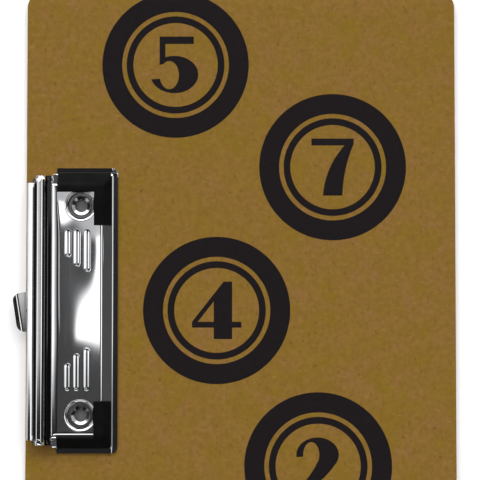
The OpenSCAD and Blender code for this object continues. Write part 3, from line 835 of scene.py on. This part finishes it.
def jaw_ear(end):
    """One ear, a round end on the rod with a web to the tray."""
    web_top = groove_z - sheet_t / 2 - pivot.z
    edge = arc((0, 0), (ear_r, ear_r), math.degrees(math.asin(web_top / ear_r)), 270, 40)
    edge += [(ear_web_x - pivot.x, rim_z - pivot.z), (ear_web_x - pivot.x, web_top)]
    hole = [(p.x, p.y) for p in circle((0, 0), ear_bore_r, 0, 32)]
    walls = [[[Vector((pivot.x + x, end * y, pivot.z + z)) for x, z in loop]
              for y in (ear_y - sheet_t, ear_y - ear_setback)] for loop in (edge, hole)]
    return bored_plate(walls[0], [walls[1]])


# Painted shade darkens the chrome's colour in the two creases beside the barrel, each between two places
# across the clip
shaded_crease_bands = [(-104.4 * mm, -101.2 * mm), (-110.6 * mm, -109.2 * mm)]
crease_shade_fade = 0.2 * mm
crease_shade_grey = from_screen(66, 65, 64)
chrome_dark = from_screen(228, 229, 232)
chrome_light = from_screen(238, 238, 240)


def chrome_finish():
    """Mirror chrome with a little haze, fine wiping lines and painted shade in two creases."""
    finish, tree, shader, place = new_finish("polished_chrome")
    haze = speckle(tree, place, per_metre=70, low=0.35, high=0.65)
    lines = speckle(tree, place, per_metre=420, low=0.6, high=0.8, detail=5, stretch=(1, 0.03, 1))
    colour = mix(tree, haze, chrome_dark, chrome_light)
    across = add(tree, "SeparateXYZ", {"Vector": place}).outputs["X"]
    # Painted shade: the chrome's colour turns grey in each crease, where the recess lies in shade
    for edges in shaded_crease_bands:
        inside = [add(tree, "MapRange", {"Value": across, "From Min": edge - crease_shade_fade,
                                         "From Max": edge + crease_shade_fade}) for edge in edges]
        painted_crease_shade = add(tree, "Math", {0: inside[0].outputs[0], 1: inside[1].outputs[0]}, operation="SUBTRACT")
        colour = mix(tree, painted_crease_shade.outputs[0], colour, crease_shade_grey)
    tree.links.new(colour, shader.inputs["Base Color"])
    shader.inputs["Metallic"].default_value = 1
    gloss = add(tree, "MapRange", {"Value": lines, "To Min": 0.035, "To Max": 0.08})
    tree.links.new(gloss.outputs[0], shader.inputs["Roughness"])
    return finish


def thickened(made, thickness, edge):
    """The same sheet with a thickness below its outside, and its cut edges rounded."""
    mesh = bpy.data.meshes.new("sheet")
    made.to_mesh(mesh)
    made.free()
    sheet = bpy.data.objects.new("sheet", mesh)
    bpy.context.scene.collection.objects.link(sheet)
    solid = sheet.modifiers.new("thickness", "SOLIDIFY")
    solid.thickness = thickness
    solid.offset = -1
    bevel = sheet.modifiers.new("edges", "BEVEL")
    bevel.width = edge
    bevel.segments = 1
    bevel.limit_method = "ANGLE"
    bevel.angle_limit = math.radians(60)
    built = sheet.evaluated_get(bpy.context.evaluated_depsgraph_get()).to_mesh()
    result = bmesh.new()
    result.from_mesh(built)
    bpy.data.objects.remove(sheet)
    bpy.data.meshes.remove(mesh)
    return result


chrome = chrome_finish()
jaw = joined([thickened(jaw_sheet(), sheet_t, sheet_edge), jaw_ear(1), jaw_ear(-1)])
piece_from(jaw, "pressed_jaw", chrome, "jaw", "chrome", "jaw_plate", smooth=38)

# Corner grips: two moulded black rubber guards stretched over the jaw's front corners.
# Each lies on the slope and the flat top, along the end and along the front.
grip_t = 1.2 * mm
grip_edge = 0.6 * mm
grip_edge_t = 0.01 * mm
grip_gap = 0.02 * mm
grip_grain_depth = 0.02 * mm
grip_front = (front_x - 12.6 * mm, front_x - 3.6 * mm)
grip_side_inner = {1: side_crest_y - 3.7 * mm, -1: side_crest_y + 0.3 * mm}
grip_side_outer = side_foot_y + 0.8 * mm
grip_front_ends = {1: 45.2 * mm, -1: 48.2 * mm}
grip_side_end = grip_front[1] - 28.8 * mm
grip_lines = 30
grip_steps = 60
slope_step = 0.15 * mm
rubber_black = from_screen(8, 9, 9)
rubber_bloom = from_screen(16, 16, 17)


def jaw_surface(x, y):
    """The jaw's outside at a place, and the direction that it faces."""
    step = slope_step
    across = Vector((2 * step, 0, tray_height(x + step, y) - tray_height(x - step, y)))
    along = Vector((0, 2 * step, tray_height(x, y + step) - tray_height(x, y - step)))
    return Vector((x, y, tray_height(x, y))), across.cross(along).normalized()


def eased_shares(count, ease):
    """Shares from 0 to 1 that lie closer together near both ends."""
    return [(1 - ease) * k / count + ease * (1 - math.cos(math.pi * k / count)) / 2 for k in range(count + 1)]


def grip_skin(end):
    """A net over the L of the grip. It is thickest away from its edges, which are round."""
    made = bmesh.new()
    front_end = grip_front_ends[end]
    front_w = grip_front[1] - grip_front[0]
    side_start = grip_side_inner[end]
    side_w = grip_side_outer - side_start
    across = eased_shares(grip_lines, 0.8)
    along = eased_shares(grip_steps, 0.35)
    top, bottom = [], []
    for t in along:
        upper, lower = [], []
        for s in across:
            x = grip_front[0] + s * front_w
            y = side_start + s * side_w
            if t < 0.5:
                spot = (x, front_end + 2 * t * (y - front_end))
            else:
                spot = (x + (2 * t - 1) * (grip_side_end - x), y)
            from_sides = min(s, 1 - s) * (front_w if t < 0.5 else side_w)
            from_ends = min(spot[1] - front_end, spot[0] - grip_side_end)
            depth = min(1, max(0, min(from_sides, from_ends) / grip_edge))
            thick = grip_edge_t + grip_t * math.sqrt(1 - (1 - depth) ** 2)
            under, facing = jaw_surface(spot[0], end * spot[1])
            upper.append(made.verts.new(under + facing * (grip_gap + thick)))
            lower.append(made.verts.new(under + facing * grip_gap))
        top.append(upper)
        bottom.append(lower)
    last_row, last = len(along) - 1, len(across) - 1
    for i in range(last_row):
        for j in range(last):
            made.faces.new((top[i][j], top[i][j + 1], top[i + 1][j + 1], top[i + 1][j]))
            made.faces.new((bottom[i][j], bottom[i + 1][j], bottom[i + 1][j + 1], bottom[i][j + 1]))
        for j in (0, last):
            made.faces.new((top[i][j], top[i + 1][j], bottom[i + 1][j], bottom[i][j]))
    for i in (0, last_row):
        for j in range(last):
            made.faces.new((top[i][j], top[i][j + 1], bottom[i][j + 1], bottom[i][j]))
    bmesh.ops.recalc_face_normals(made, faces=made.faces)
    return made


def rubber_finish():
    """Matt black rubber with a faint bloom and a fine moulded grain."""
    finish, tree, shader, place = new_finish("moulded_rubber")
    grain = speckle(tree, place, per_metre=1300, low=0.3, high=0.7)
    bloom = speckle(tree, place, per_metre=120, low=0.4, high=0.7)
    tree.links.new(mix(tree, bloom, rubber_black, rubber_bloom), shader.inputs["Base Color"])
    gloss = add(tree, "MapRange", {"Value": grain, "To Min": 0.5, "To Max": 0.65})
    tree.links.new(gloss.outputs[0], shader.inputs["Roughness"])
    shader.inputs["Specular IOR Level"].default_value = 0.06
    roughened(tree, shader, grain, grip_grain_depth, 0.5)
    return finish


rubber = rubber_finish()
for end, node in ((1, "corner_grip_upper"), (-1, "corner_grip_lower")):
    piece_from(grip_skin(end), "rubber_" + node, rubber, "jaw", "black_rubber", node, smooth=60)

# Hang tab: a flat tongue of plated steel with a hole to hang the board by and a turned-up
# lip. It slides out from under the base plate's bridge, and its slot stops it at a stud.
tab_edge = 0.15 * mm
tab_scratch = 0.002 * mm
tab_dark = from_screen(196, 196, 196)
tab_light = from_screen(214, 214, 212)
bright_nickel = plated_finish("bright_nickel", tab_dark, tab_light, (0.03, 0.06), tab_scratch)
ease_edges(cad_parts["hang_tab"], tab_edge, bright_nickel)

# Floor: white paper under the board. It isn't part of the object.
floor_half = 6
floor_drop = 0.2 * mm
paper_white = from_screen(251, 251, 252)
paper_fibre = from_screen(253, 253, 254)
paper_lift = 0.18


def paper_finish():
    """White paper that is lifted to full white where the camera or a reflection sees it."""
    finish, tree, shader, place = new_finish("white_paper")
    fibre = speckle(tree, place, per_metre=300, low=0.3, high=0.7)
    tree.links.new(mix(tree, fibre, paper_white, paper_fibre), shader.inputs["Base Color"])
    shader.inputs["Roughness"].default_value = 0.9
    shader.inputs["Specular IOR Level"].default_value = 0.1
    shader.inputs["Emission Color"].default_value = (1, 1, 1, 1)
    seen = add(tree, "LightPath")
    plain = add(tree, "Math", {0: seen.outputs["Is Camera Ray"], 1: seen.outputs["Is Glossy Ray"]})
    every = add(tree, "Math", {0: plain.outputs[0], 1: seen.outputs["Is Transmission Ray"]})
    lift = add(tree, "Math", {0: every.outputs[0], 1: paper_lift}, operation="MULTIPLY")
    tree.links.new(lift.outputs[0], shader.inputs["Emission Strength"])
    return finish


floor_mesh = bpy.data.meshes.new("paper_floor")
floor_corners = [(x * floor_half, y * floor_half, -floor_drop)
                 for x, y in ((-1, -1), (1, -1), (1, 1), (-1, 1))]
floor_mesh.from_pydata(floor_corners, [], [(0, 1, 2, 3)])
floor_mesh.materials.append(paper_finish())
floor = bpy.data.objects.new("paper_floor", floor_mesh)
bpy.context.scene.collection.objects.link(floor)

# Light: a dim room with a ring of soft boxes overhead, round a dark gap that the camera
# stands in, and four faint ones low in the corners. Small boxes hang in the gap. A faint
# glow fills the lower half of the room, and its walls are pale along the floor.
room_light = 0.018
wall_light = 0.5
low_glow = 0.06
# Heights between which the walls' light and the glow fade out, as upward parts of a direction
wall_top = (0.02, 0.05)
glow_top = (0.25, 0.5)
least_up = 0.02
# Each soft box as its lowest and highest tangent of tilt in X and in Y, the softness of
# its edges in X and in Y, and its brightness
soft_boxes = [
    ((-1.3, -0.28), (-0.01, 1.0), (0.15, 0.018), 1.3),
    ((-1.3, -0.62), (-1.0, -0.01), (0.04, 0.018), 1.3),
    ((0.3, 1.3), (-0.01, 1.0), (0.018, 0.018), 1.3),
    ((0.5, 0.85), (-1.0, -0.01), (0.018, 0.018), 1.3),
    ((-1.6, 1.6), (1.0, 2.8), (0.05, 0.05), 5.5),
    ((-1.0, 0.6), (-2.8, -1.7), (0.05, 0.05), 2.5),
    ((1.5, 7.0), (0.9, 7.0), (0.15, 0.15), 0.5),
    ((-7.0, -1.5), (0.9, 7.0), (0.15, 0.15), 0.5),
    ((-7.0, -1.5), (-7.0, -0.9), (0.15, 0.15), 0.22),
    ((1.5, 7.0), (-7.0, -0.9), (0.15, 0.15), 0.22),
    ((-0.3, 0.12), (-0.36, -0.14), (0.02, 0.02), 1.3),
    ((-0.0695, -0.03), (0.008, 0.066), (0.003, 0.003), 1.8),
    ((-0.115, -0.03), (0.064, 0.1), (0.01, 0.004), 0.5),
    ((-0.34, -0.155), (0.0, 0.1), (0.01, 0.01), 0.2),
    ((-0.12, 0.02), (-0.045, 0.1), (0.01, 0.01), 0.045),
    ((-0.1035, -0.0955), (0.0225, 0.06), (0.003, 0.0125), 1.1),
]


def studio_sky():
    """The room's light by direction, as a sum of the room, the glow and the soft boxes."""
    world = bpy.data.worlds.new("studio")
    bpy.context.scene.world = world
    world.use_nodes = True
    tree = world.node_tree
    sky = tree.nodes["Background"]
    way = add(tree, "SeparateXYZ", {"Vector": tree.nodes.new("ShaderNodeTexCoord").outputs["Generated"]})
    up = add(tree, "Math", {0: way.outputs["Z"], 1: least_up}, operation="MAXIMUM")
    tilts = [add(tree, "Math", {0: way.outputs[axis], 1: up.outputs[0]}, operation="DIVIDE").outputs[0]
             for axis in ("X", "Y")]
    room = add(tree, "MapRange", {"Value": way.outputs["Z"], "From Min": wall_top[0],
                                  "From Max": wall_top[1], "To Min": wall_light, "To Max": room_light})
    glow = add(tree, "MapRange", {"Value": way.outputs["Z"], "From Min": glow_top[0],
                                  "From Max": glow_top[1], "To Min": low_glow, "To Max": 0})
    total = add(tree, "Math", {0: room.outputs[0], 1: glow.outputs[0]}).outputs[0]
    for *spans, softness, bright in soft_boxes:
        inside = bright
        for tilt, (low, high), soft in zip(tilts, spans, softness):
            for edge, sign in ((low, 1), (high, -1)):
                span = {"Value": tilt, "From Min": edge - sign * soft, "From Max": edge + sign * soft}
                ramped = add(tree, "MapRange", span, interpolation_type="SMOOTHSTEP")
                inside = add(tree, "Math", {0: inside, 1: ramped.outputs[0]}, operation="MULTIPLY").outputs[0]
        total = add(tree, "Math", {0: total, 1: inside}).outputs[0]
    tree.links.new(total, sky.inputs["Strength"])
    sky.inputs["Color"].default_value = (1, 1, 1, 1)


studio_sky()

# Camera: almost straight above, leaning slightly along the clip, so that the frame cuts off
# one end of the board as the photograph does.
camera_height = 1.2
camera_lean = math.radians(3.2)
camera_aim = Vector((-0.0005, 0.0377, 0.0032))
camera_lens = 167.9
camera_sensor = 36
camera_sight = 50

camera_data = bpy.data.cameras.new("camera")
camera_data.lens = camera_lens
camera_data.sensor_width = camera_sensor
camera_data.sensor_fit = "HORIZONTAL"
camera_data.clip_end = camera_sight
camera = bpy.data.objects.new("camera", camera_data)
camera_way = Vector((0, -math.sin(camera_lean), math.cos(camera_lean)))
camera.location = camera_aim + camera_height * camera_way
camera.rotation_euler = (camera_lean, 0, 0)
bpy.context.scene.collection.objects.link(camera)
bpy.context.scene.camera = camera
bpy.context.scene.view_settings.view_transform = "Standard"
